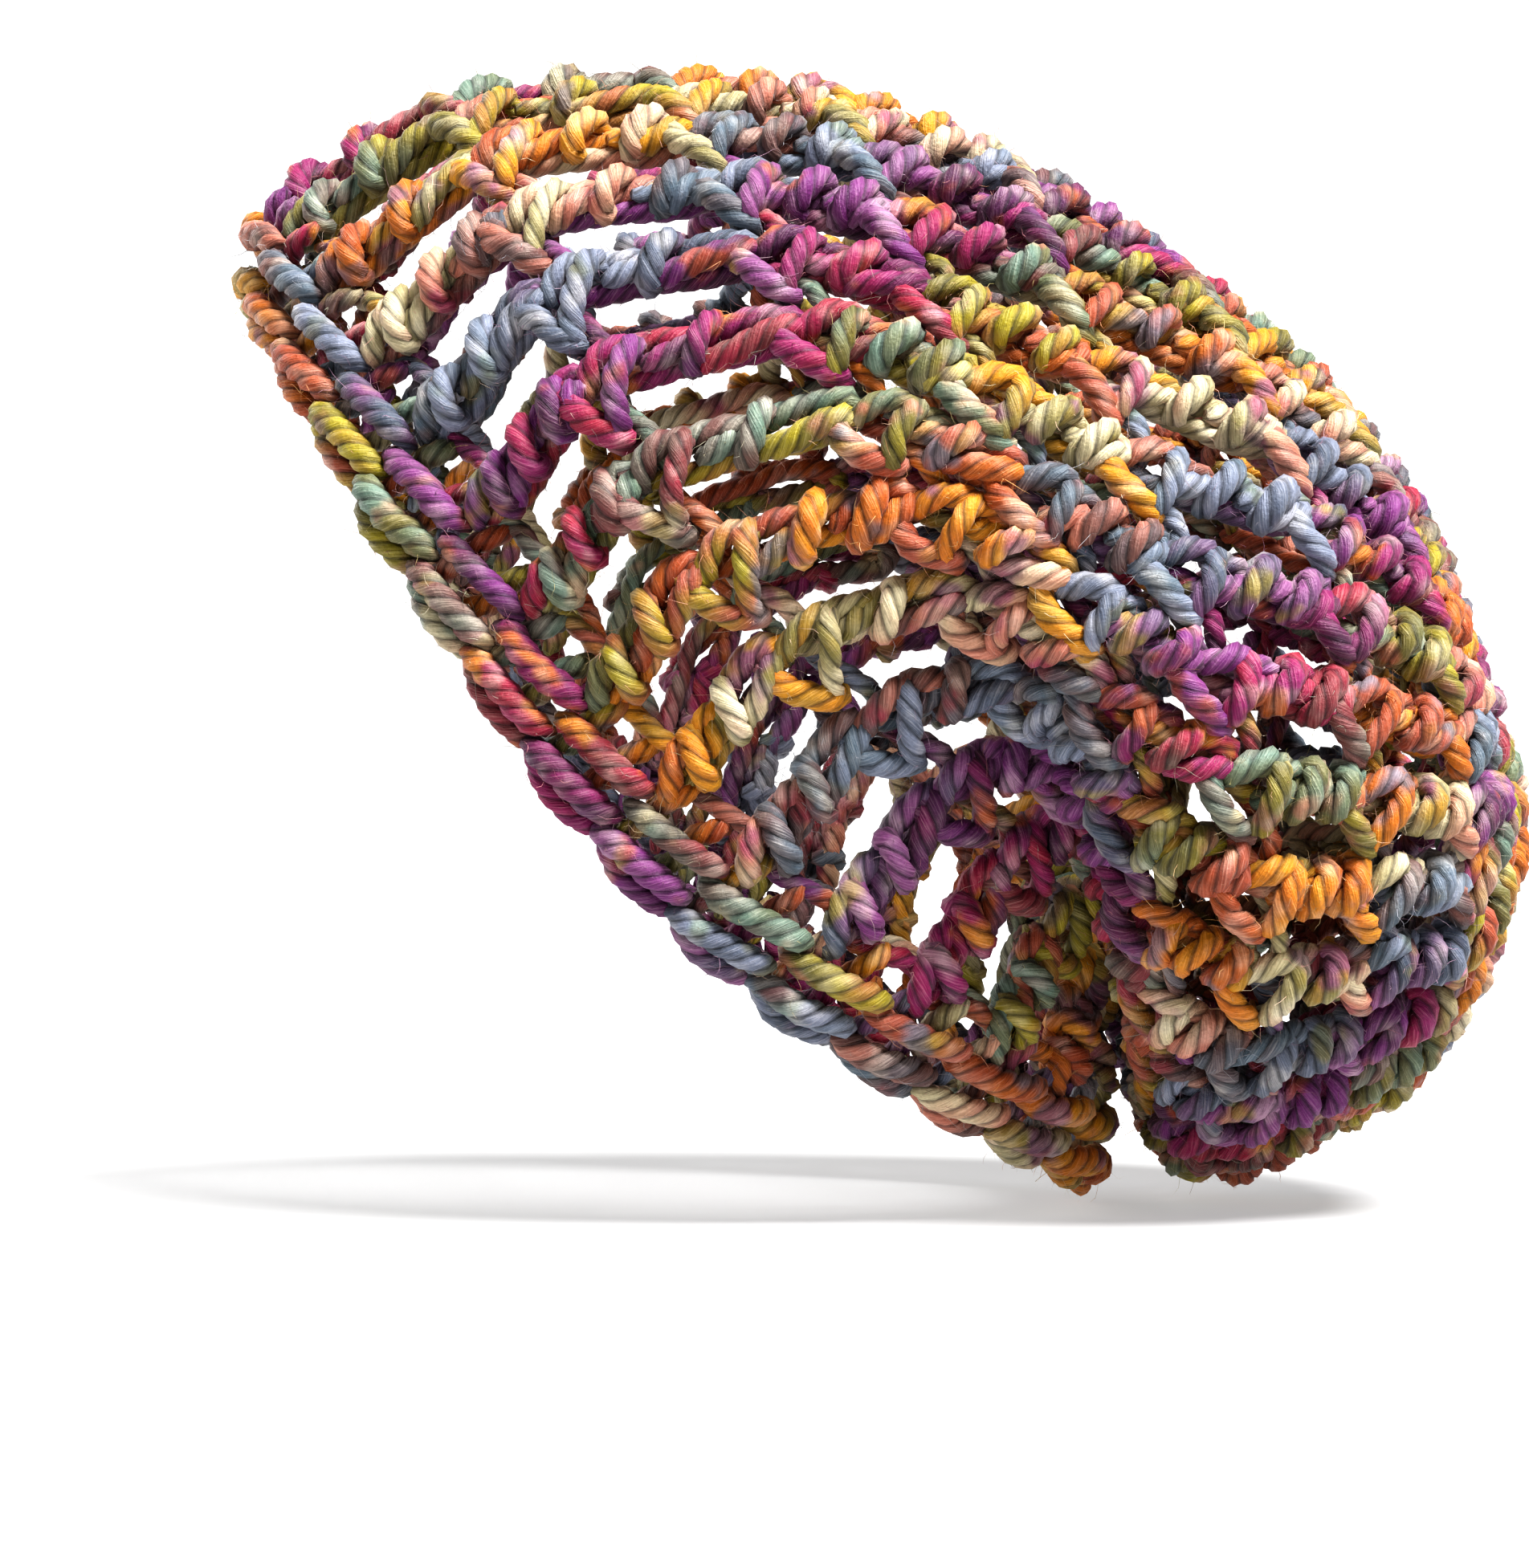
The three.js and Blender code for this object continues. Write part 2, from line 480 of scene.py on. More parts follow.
    def _skin(self, along: np.ndarray, base: int) -> tuple[np.ndarray, ...]:
        """Number the corners of the faces on swept strands, and find their UVs.

        Args:
            along: the place on the dyed yarn as (strand, ring).
            base: the number of the strands' first point.

        Returns:
            The faces of the walls, those that cap the ends, and a UV for every corner of each.
        """
        columns = self.yarn.columns
        column = np.arange(columns)
        ring = base + np.arange(along.size).reshape(*along.shape, 1) * columns
        low, high = ring[:, :-1] + column, ring[:, 1:] + column
        low_next, high_next = (rings + (column + 1) % columns for rings in (ring[:, :-1], ring[:, 1:]))
        walls = np.stack([low, low_next, high_next, high], axis=3).reshape(-1, 4)
        here, there = (np.broadcast_to(rings[:, :, None], low.shape) for rings in (along[:, :-1], along[:, 1:]))
        left = np.broadcast_to(column / columns, low.shape)
        right = left + 1 / columns
        corners = [np.stack(pair, axis=3) for pair in ((here, left), (here, right), (there, right), (there, left))]
        caps = np.concatenate([ring[:, 0] + column[::-1], ring[:, -1] + column])
        ends = np.concatenate([along[:, 0], along[:, -1]])[:, None]
        cap_uvs = np.stack(np.broadcast_arrays(ends, column / columns), axis=2)
        return walls, caps, np.stack(corners, axis=3).reshape(-1, 2), cap_uvs.reshape(-1, 2)

    def _pluck(
        self, block: np.ndarray, along: np.ndarray, random: np.random.Generator
    ) -> tuple[np.ndarray, np.ndarray]:
        """Draw loose fibres out of swept strands.

        Args:
            block: the strands' points as (strand, ring, column, xyz).
            along: the place on the dyed yarn as (strand, ring).
            random: the piece's own source of small differences.

        Returns:
            Seven points for each fibre, two at each of its first three knots and one at its tip, and their UVs.
        """
        yarn = self.yarn
        strands, count, columns, _ = block.shape
        number = int(strands * count * yarn.step * yarn.fluff_each_mm)
        strand = random.integers(0, strands, number)
        ring = random.integers(1, count - 1, number)
        column = random.integers(0, yarn.plies, number) * len(yarn.lobe_angles) + yarn.crest
        middle = block.mean(axis=2)
        root = block[strand, ring, column]
        out = unit(root - middle[strand, ring])
        ahead = unit(middle[strand, ring + 1] - middle[strand, ring - 1])
        ahead = ahead * random.choice([-1.0, 1.0], (number, 1))
        low, high = yarn.fluff_length
        length = (low + (high - low) * random.random((number, 1)) ** yarn.fluff_rarity) * MM
        stray = random.normal(0, 1, (number, 3, 3))
        heading = unit(ahead * 0.8 + out * random.uniform(0.25, 1.0, (number, 1)) + stray[:, 0] * 0.3)
        knots = [root - out * 0.15 * MM]
        for leg in range(3):
            knots.append(knots[-1] + heading * length / 3)
            heading = unit(heading + stray[:, leg] * yarn.fluff_curl - out * 0.1 * leg)
        width = unit(np.cross(heading, stray[:, 1])) * yarn.fluff_width * MM / 2
        points = []
        for knot, share in zip(knots, yarn.fluff_thinning):
            points += [knot - width * share, knot + width * share]
        fibres = np.stack([*points, knots[-1]], axis=1)
        dye, around = along[strand, ring], FIBRE_MARK + column / columns
        return fibres, np.repeat(np.stack([dye, around], axis=1)[:, None], fibres.shape[1], axis=1)


def mesh_object(name: str, places: np.ndarray, faces: Sequence[np.ndarray], uvs: np.ndarray) -> bpy.types.Object:
    """Make a smooth object from numbered points.

    Args:
        name: the object's name.
        places: the points in metres.
        faces: blocks of faces, each block with one number of corners.
        uvs: one pair per face corner, in the order of the faces.

    Returns:
        The new object, at the origin.
    """
    mesh = bpy.data.meshes.new(name)
    corners = np.concatenate([block.ravel() for block in faces]).astype(np.int32)
    sizes = np.concatenate([np.full(len(block), block.shape[1]) for block in faces])
    starts = np.concatenate([[0], np.cumsum(sizes)[:-1]]).astype(np.int32)
    mesh.vertices.add(len(places))
    mesh.vertices.foreach_set("co", places.astype(np.float32).ravel())
    mesh.loops.add(len(corners))
    mesh.loops.foreach_set("vertex_index", corners)
    mesh.polygons.add(len(sizes))
    mesh.polygons.foreach_set("loop_start", starts)
    mesh.polygons.foreach_set("use_smooth", np.ones(len(sizes), bool))
    layer = mesh.uv_layers.new(name=STRAND_MAP)
    layer.data.foreach_set("uv", uvs.astype(np.float32).ravel())
    mesh.update(calc_edges=True)
    made = bpy.data.objects.new(name, mesh)
    bpy.context.scene.collection.objects.link(made)
    return made


# ---- finishes ----


class Reading:
    """A number socket that takes part in Python arithmetic and adds the Math nodes for it."""

    def __init__(self, board: "Board", socket: bpy.types.NodeSocket) -> None:
        """Hold a socket and the board that it is on."""
        self.board = board
        self.socket = socket

    def math(self, operation: str, *others: "Reading | float") -> "Reading":
        """Add one Math node with this value first."""
        return self.board.math(operation, self, *others)

    def __add__(self, other: "Reading | float") -> "Reading":
        """Add."""
        return self.math("ADD", other)

    __radd__ = __add__

    def __sub__(self, other: "Reading | float") -> "Reading":
        """Subtract."""
        return self.math("SUBTRACT", other)

    def __rsub__(self, other: "Reading | float") -> "Reading":
        """Subtract this from the other."""
        return self.board.math("SUBTRACT", other, self)

    def __mul__(self, other: "Reading | float") -> "Reading":
        """Multiply."""
        return self.math("MULTIPLY", other)

    __rmul__ = __mul__

    def __truediv__(self, other: "Reading | float") -> "Reading":
        """Divide."""
        return self.math("DIVIDE", other)


class Board:
    """The node tree of a material or of the world."""

    def __init__(self, owner: bpy.types.Material | bpy.types.World) -> None:
        """Clear the owner's tree and hold it.

        Args:
            owner: the material or world.
        """
        owner.use_nodes = True
        self.tree = owner.node_tree
        self.tree.nodes.clear()

    def node(
        self, kind: str, settings: dict[str, Any] | None = None, inputs: dict[Any, Any] | None = None
    ) -> bpy.types.Node:
        """Add one node.

        Args:
            kind: the node's type.
            settings: its properties, set first; "stops" gives a ramp's places and colours.
            inputs: values or links for its sockets, by name or number.

        Returns:
            The new node.
        """
        made = self.tree.nodes.new(kind)
        for key, value in (settings or {}).items():
            if key == "stops":
                self._set_stops(made.color_ramp, value)
            else:
                setattr(made, key, value)
        for key, value in (inputs or {}).items():
            socket = made.inputs[key]
            if isinstance(value, Reading):
                value = value.socket
            if isinstance(value, bpy.types.NodeSocket):
                self.tree.links.new(value, socket)
            else:
                socket.default_value = value
        return made

    @staticmethod
    def _set_stops(ramp: bpy.types.ColorRamp, stops: Iterable[tuple[float, Colour]]) -> None:
        """Set a colour ramp's stops.

        Args:
            ramp: the ramp, which has two stops to start with.
            stops: the place and colour of the first stop, the last, and the rest in order.
        """
        for index, (place, colour) in enumerate(stops):
            stop = ramp.elements[index] if index < 2 else ramp.elements.new(place)
            stop.position, stop.color = place, colour

    def reading(self, socket: bpy.types.NodeSocket) -> Reading:
        """Wrap a number socket."""
        return Reading(self, socket)

    def math(self, operation: str, *values: Reading | float) -> Reading:
        """Add one Math node on values."""
        return self.reading(self.node("ShaderNodeMath", {"operation": operation}, dict(enumerate(values))).outputs[0])

    def noise(self, place: bpy.types.NodeSocket, scale: float, detail: float) -> Reading:
        """Add soft noise about one half."""
        inputs = {"Vector": place, "Scale": scale, "Detail": detail}
        return self.reading(self.node("ShaderNodeTexNoise", inputs=inputs).outputs[0])

    def mix(self, way: str, amount: Any, first: Any, second: Any) -> bpy.types.NodeSocket:
        """Mix two colours."""
        settings = {"data_type": "RGBA", "blend_type": way}
        return self.node("ShaderNodeMix", settings, {0: amount, 6: first, 7: second}).outputs[2]


def paint(red: int, green: int, blue: int) -> Colour:
    """Turn a colour as a screen shows it into the light values that a shader takes.

    Args:
        red: how much red, from 0 to 255.
        green: how much green.
        blue: how much blue.

    Returns:
        The colour in linear light, opaque.
    """
    parts = [part / 255 for part in (red, green, blue)]
    light = [part / 12.92 if part <= 0.04045 else ((part + 0.055) / 1.055) ** 2.4 for part in parts]
    return (light[0], light[1], light[2], 1.0)


@dataclass(frozen=True)
class Patches:
    """Soft-edged patches on the yarn, where noise is high.

    Attributes:
        scale: of the noise, over a metre.
        detail: of the noise, which makes the edges uneven.
        low: the noise at which they begin.
        high: the noise from which they are full.
        strength: how strong they are there.
    """

    scale: float
    detail: float
    low: float
    high: float
    strength: float

    def show(self, board: Board, place: bpy.types.NodeSocket) -> Reading:
        """Add the patches' strength at a place.

        Args:
            board: the material's nodes.
            place: where the noise is read.

        Returns:
            The strength there, from 0.
        """
        noise = board.noise(place, self.scale, self.detail)
        steps = {0: noise, 1: self.low, 2: self.high, 3: 0.0, 4: self.strength}
        return board.reading(board.node("ShaderNodeMapRange", {"interpolation_type": "SMOOTHSTEP"}, steps).outputs[0])


@dataclass(frozen=True)
class DyedYarnFinish:
    """Hand-dyed soft yarn: a row of dye baths along it, faded and mixed a little, on matt fuzzy plies.

    Attributes:
        name: the material's name.
        yarn: the yarn that it is for.
        drift: the scale and detail of each noise that moves the dye along the yarn, and how far, in repeats.
        ply_shift: how much further on the next ply's dye is, in repeats.
        accent_shift: how much further on the dye in the accents is, in repeats.
        accents: where another dye has run in.
        faded: where the dye is thin.
        pale: the colour that thin dye, loose fibres and the painted highlight on the crests of fibre bundles go
            towards.
        streak_scales: how fast fibre streaks change along the yarn, how much they slant, and how fast round it.
        fluff_scale: of the fine fuzz.
        groove_shade: the painted shade in the grooves between plies: how bright they are painted, as a share of the
            crests.
        saturation: of the finished colour.
        gloss: of the yarn.
        sheen: of its fuzz.
        relief: how high the streaks and the fuzz stand, in metres.
        baths: the dye baths in their order along the yarn, as a screen shows them.
    """

    name: str
    yarn: PliedYarn
    drift: tuple[tuple[float, float, float], ...] = ((26.0, 2.0, 0.14), (70.0, 1.0, 0.12))
    ply_shift: float = 0.012
    accent_shift: float = 0.41
    accents: Patches = Patches(75.0, 2.0, 0.56, 0.68, 0.75)
    faded: Patches = Patches(120.0, 1.0, 0.52, 0.72, 1.0)
    pale: tuple[int, int, int] = (150, 142, 132)
    streak_scales: tuple[float, float, float] = (260.0, 9.0, 46.0)
    fluff_scale: float = 1500.0
    groove_shade: float = 0.4
    saturation: float = 1.06
    gloss: float = 0.6
    sheen: float = 0.12
    relief: float = 0.0006
    baths: tuple[tuple[int, int, int], ...] = (
        (190, 112, 34),
        (200, 142, 38),
        (128, 118, 62),
        (202, 190, 158),
        (186, 120, 102),
        (98, 66, 62),
        (84, 100, 112),
        (128, 134, 152),
        (66, 76, 92),
        (132, 76, 122),
        (114, 40, 110),
        (76, 28, 66),
        (134, 24, 92),
        (150, 34, 62),
        (104, 58, 54),
        (104, 126, 112),
        (104, 96, 44),
        (158, 144, 40),
        (158, 84, 66),
        (156, 74, 34),
    )

    def make(self) -> bpy.types.Material:
        """Make the material.

        Returns:
            The finished material.
        """
        material = bpy.data.materials.new(self.name)
        board = Board(material)
        strand_place = board.node("ShaderNodeUVMap", {"uv_map": STRAND_MAP}).outputs[0]
        parts = board.node("ShaderNodeSeparateXYZ", inputs={0: strand_place})
        along, around = board.reading(parts.outputs[0]), board.reading(parts.outputs[1])
        spot = board.node("ShaderNodeTexCoord").outputs["Object"]
        ply = around * float(self.yarn.plies)
        crest = 1 - (ply.math("FRACT") * 2.0 - 1.0).math("ABSOLUTE")
        # painted shade and painted highlight follow this: 0 in the grooves between plies, 1 over most of each ply
        groove = (crest * 2.0).math("MINIMUM", 1.0)
        along_scale, slant, around_scale = self.streak_scales
        streaks_at = {0: along * along_scale + around * slant, 1: around * around_scale}
        streak = board.noise(board.node("ShaderNodeCombineXYZ", inputs=streaks_at).outputs[0], 1.0, 3.0)
        fluff = board.noise(spot, self.fluff_scale, 3.0)
        phase = along / DYE_REPEAT
        for scale, detail, reach in self.drift:
            phase = phase + (board.noise(spot, scale, detail) - 0.5) * reach
        phase = phase + (ply.math("FLOOR") - 1.0) * self.ply_shift
        dyes = (self._dye(board, phase), self._dye(board, phase + self.accent_shift))
        dyed = board.mix("MIX", self.accents.show(board, spot), *dyes)
        # painted highlight: bright fibre streaks away from the ply grooves are toned paler
        bright = ((streak - 0.46) * 4.0).math("MAXIMUM", 0.0).math("MINIMUM", 1.0) * groove
        loose = around.math("GREATER_THAN", FIBRE_MARK - 0.5)
        # the pale toning: partly the yarn's own (thin dye, loose fibres), partly the painted highlight on the ply
        # crests
        pale = (bright * 0.34 + self.faded.show(board, spot) * 0.6).math("MAXIMUM", loose * 0.7)
        toned = board.mix("SCREEN", pale, dyed, paint(*self.pale))
        # painted shade in the ply grooves, times the fibre streaks' and fuzz's own tone
        shade = (self.groove_shade + (1 - self.groove_shade) * groove) * (0.2 + 1.06 * streak + 0.5 * fluff)
        toning = {"Saturation": self.saturation, "Value": shade, "Color": toned}
        coloured = board.node("ShaderNodeHueSaturation", inputs=toning)
        height = streak * 0.7 + fluff * 0.5
        bump = board.node("ShaderNodeBump", inputs={"Strength": 0.8, "Distance": self.relief, "Height": height})
        looks = {
            "Base Color": coloured.outputs[0],
            "Roughness": 0.5 + 0.2 * fluff,
            "Specular IOR Level": self.gloss,
            "Sheen Weight": self.sheen,
            "Sheen Roughness": 0.45,
            "Sheen Tint": (1.0, 0.96, 0.92, 1.0),
            "Normal": bump.outputs[0],
        }
        shader = board.node("ShaderNodeBsdfPrincipled", inputs=looks)
        board.node("ShaderNodeOutputMaterial", inputs={0: shader.outputs[0]})
        return material

    def _dye(self, board: Board, phase: Reading) -> bpy.types.NodeSocket:
        """Add the dye at a place in the repeat.

        Args:
            board: the material's nodes.
            phase: the place, in repeats.

        Returns:
            The colour there.
        """
        stops = [(index / len(self.baths), paint(*bath)) for index, bath in enumerate(self.baths)]
        ordered = [stops[0], (1.0, stops[0][1]), *stops[1:]]
        return board.node("ShaderNodeValToRGB", {"stops": ordered}, {0: phase.math("FRACT")}).outputs[0]


@dataclass(frozen=True)
class StudioFinish:
    """The pale floor, which glows a little so that the shadow on it stays soft.

    Attributes:
        name: the material's name.
        colour: of the floor.
        glow: how much light it gives by itself.
    """

    name: str = "pale_floor"
    colour: Colour = (0.33, 0.33, 0.33, 1.0)
    glow: float = 0.34

    def make(self) -> bpy.types.Material:
        """Make the material.

        Returns:
            The finished material.
        """
        material = bpy.data.materials.new(self.name)
        board = Board(material)
        looks = {
            "Base Color": self.colour,
            "Roughness": 0.9,
            "Emission Color": WHITE,
            "Emission Strength": self.glow,
        }
        shader = board.node("ShaderNodeBsdfPrincipled", inputs=looks)
        board.node("ShaderNodeOutputMaterial", inputs={0: shader.outputs[0]})
        return material


# ---- the pieces ----


@dataclass
class YarnPiece:
    """One piece of crocheted yarn that stands for one solid part of the frame.

    Attributes:
        form: the hat's form.
        yarn: the yarn that it is made of.
        name: the piece's name.
        node: the solid part that it stands for.
        slot: the name of a material slot for the piece; not used.
        seed: of its own small differences.
        dye_start: where its first strand is on the row of dye baths, in repeats.
        dye_step: how much further on the next one is.
    """

    form: HatForm
    yarn: PliedYarn
    name: str
    node: str
    slot: str
    seed: int
    dye_start: float = 0.0
    dye_step: float = 0.04

    def __post_init__(self) -> None:
        """Start the piece's own source of small differences."""
        self.random = np.random.default_rng(self.seed)
        self.skein = Skein(self.yarn)

    def lay(self) -> None:
        """Lay the piece's strands."""
        raise NotImplementedError

    def build(self) -> bpy.types.Object:
        """Lay the strands and make the piece's mesh.

        Returns:
            The piece's object.
        """
        self.lay()
        self.object = self.skein.make(self.name, self.random)
        return self.object

    def dress(self, material: bpy.types.Material) -> None:
        """Give the piece its finish and its place in the frame.

        Args:
            material: the finish.
        """
        self.object.data.materials.append(material)
        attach(self.object, "root")
        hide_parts(self.node)
        faces = sum(len(face.vertices) - 2 for face in self.object.data.polygons)
        LOG.info("%s: %d strands, %d triangles", self.name, len(self.skein.strands), faces)

    def dye_at(self, number: float) -> float:
        """Where a strand or stitch is on the dyed yarn, in metres."""
        return (self.dye_start + self.dye_step * number) * DYE_REPEAT

    def put(
        self,
        line: SmoothLine,
        points: Points,
        dye: float,
        thick: float,
        at: tuple[float, float] = (0.0, 0.0),
        loose: float = 0.3,
        taper: float = 0.0,
    ) -> None:
        """Lay one strand, as uneven as hand work is.

        Args:
            line: the line that it lies along.
            points: its given points.
            dye: where it starts on the dyed yarn, in metres.
            thick: its radius as a share of the yarn's.
            at: how far along and across the line its points are moved, in millimetres.
            loose: how uneven its points are, in millimetres.
            taper: the length over which its ends run thin, in millimetres.
        """
        uneven = np.array(points, float) + self.random.normal(0, loose, (len(points), 3))
        self.skein.add(line, uneven + [*at, 0], dye, self.random, thick, taper)


@dataclass
class Stitch:
    """One tall stitch, in millimetres. It lies along its line from foot to head.

    Attributes:
        length: from its foot to its head.
        rise: how far its wraps reach to either side of its line.
        front: how far the wraps stand out in front.
        lean: how much further on a wrap's top is than its bottom, where there is room.
        foot: where the first wrap's bottom is, where there is room.
        second_from: the length from which it has a second wrap.
        third_from: the length from which it has a third wrap.
    """

    length: float
    rise: float = 4.0
    front: float = 3.3
    lean: float = 5.2
    foot: float = 5.8
    second_from: float = 14.0
    third_from: float = 22.0

    def __post_init__(self) -> None:
        """Fit the wraps into the length."""
        self.foot = min(self.foot, 0.22 * self.length)
        self.count = 1 + (self.length > self.second_from) + (self.length > self.third_from)
        self.pitch = (self.length - self.foot) / (self.count + (0.6 if self.count < 3 else 0.05))
        self.starts = [self.foot + self.pitch * number for number in range(self.count)]
        self.rest = self.length - self.starts[-1]
        self.top_lean = min(self.lean, 0.3 * self.rest)
        self.lean = min(self.lean, 0.42 * self.pitch)

    def strands(self, low: tuple[float, float], hooked: bool) -> list[tuple[Points, float]]:
        """All strands of the stitch, in the order in which they are laid.

        Args:
            low: how far along and across the stitch's line the low point of a hooked first wrap is.
            hooked: whether the first wrap hangs over the row below.

        Returns:
            Each strand's points, and its radius as a share of the yarn's.
        """
        laid = [(self.foot_loop(), 1.0)]
        for number, start in enumerate(self.starts):
            laid.append((self.hook(low), 0.95) if hooked and number == 0 else (self.wrap(start), 1.02))
            if number < self.count - 2:
                laid.append((self.slant(start), 1.0))
        if self.count > 1:
            laid.append((self.top_strand(), 1.0))
        return [*laid, (self.last_slant(), 1.04), (self.core(), 0.9)]

    def foot_loop(self) -> Points:
        """The first strand, from under the row below up along the top of the stitch.

        Returns:
            The strand's points.
        """
        start, pitch, lean, rise = self.foot, self.pitch, self.lean, self.rise
        return [
            (-2.6, -1.4, -2.6),
            (-0.6, 0.3, 0.0),
            (0.5 * start, 0.75 * rise, 1.3),
            (start + 0.6, 1.08 * rise, 0.9),
            (start + lean, 0.86 * rise, -1.3),
            (start + 0.5 * pitch + lean, 0.8 * rise, -1.5),
            (start + pitch + 0.7 * lean, 0.4 * rise, -2.4),
        ]

    def hook(self, low: tuple[float, float]) -> Points:
        """The first wrap, which hangs down over the row below.

        Args:
            low: how far along and across the stitch's line its low point is, beside the stitch.

        Returns:
            The strand's points.
        """
        high = (self.foot + 0.75 * self.lean, 0.72 * self.rise)
        path = [(high[0] + 0.9, high[1] - 1.8, -2.6), (high[0] + 0.5, high[1] + 0.4, -0.4), (*high, 2.0)]
        for share, out in ((0.3, 3.5), (0.62, 3.0), (0.88, 1.3), (1.0, -0.9)):
            path.append((high[0] + (low[0] - high[0]) * share, high[1] + (low[1] - high[1]) * share, out))
        return [*path, (low[0] + 0.6, low[1] + 0.4, -3.2)]

    def wrap(self, start: float) -> Points:
        """One strand over the front of the stitch, tucked in behind at both ends.

        Args:
            start: where its bottom is along the stitch.

        Returns:
            The strand's points.
        """
        lean, rise, front = self.lean, self.rise, self.front
        return [
            (start + 0.7 * lean, 0.1 * rise, -2.7),
            (start + 0.95 * lean, 0.84 * rise, -1.9),
            (start + 1.05 * lean, 1.08 * rise, 0.4),
            (start + 0.82 * lean, 0.62 * rise, front - 0.4),
            (start + 0.5 * lean, 0, front + 0.4),
            (start + 0.2 * lean, -0.6 * rise, front - 0.3),
            (start, -1.0 * rise, 0.4),
            (start + 0.1 * lean, -0.74 * rise, -2.0),
            (start + 0.35 * lean, -0.1 * rise, -2.7),
        ]

    def slant(self, start: float) -> Points:
        """The strand that climbs from one wrap's bottom, under the next wrap, and along the top behind it.

        Args:
            start: where the bottom of the first of the two wraps is along the stitch.

        Returns:
            The strand's points.
        """
        pitch, lean, rise = self.pitch, self.lean, self.rise
        return [
            (start - 0.6, -0.5 * rise, -2.4),
            (start + 0.2 * pitch, -0.84 * rise, -0.4),
            (start + 0.46 * pitch, -0.62 * rise, 0.9),
            (start + 0.76 * pitch, -0.24 * rise, 0.4),
            (start + pitch + 0.4 * lean, 0.2 * rise, -1.8),
            (start + 1.5 * pitch + 0.5 * lean, 0.74 * rise, -1.6),
            (start + 2 * pitch + 0.5 * lean, 0.5 * rise, -2.4),
        ]

    def last_slant(self) -> Points:
        """The long strand from the last wrap up to the head, where it turns under.

        Returns:
            The strand's points.
        """
        start, rest, rise = self.starts[-1], self.rest, self.rise
        return [
            (start - 0.4, -0.5 * rise, -2.4),
            (start + 0.16 * rest, -0.84 * rise, -0.2),
            (start + 0.4 * rest, -0.62 * rise, 1.4),
            (start + 0.7 * rest, -0.1 * rise, 1.7),
            (self.length - 2.4, 0.2 * rise, 0.6),
            (self.length - 1.2, 0.0, -1.8),
            (self.length - 3.4, -0.3 * rise, -3.2),
        ]

    def top_strand(self) -> Points:
        """The strand that runs behind the last wrap and along the top of the head.

        Returns:
            The strand's points.
        """
        start, rest, rise = self.starts[-1], self.rest, self.rise
        return [
            (start - 0.42 * rest, -0.4 * rise, 0.4),
            (start - 0.15 * rest, 0.0, -0.4),
            (start + 0.5 * self.top_lean, 0.5 * rise, -2.0),
            (start + 0.55 * rest, 1.0 * rise, -0.9),
            (self.length - 2.8, 0.92 * rise, -0.5),
            (self.length - 1.2, 0.4 * rise, -2.0),
            (self.length - 3.0, -0.1 * rise, -3.4),
        ]

    def core(self) -> Points:
        """The strand that runs behind, along the stitch's lower side.

        Returns:
            The strand's points.
        """
        length, low = self.length, -0.6 * self.rise
        return [
            (-1.5, 0.0, -3.0),
            (0.25 * length, low, -2.8),
            (0.5 * length, 0.8 * low, -3.2),
            (0.75 * length, low, -2.8),
            (length - 1.0, 0.0, -3.2),
        ]


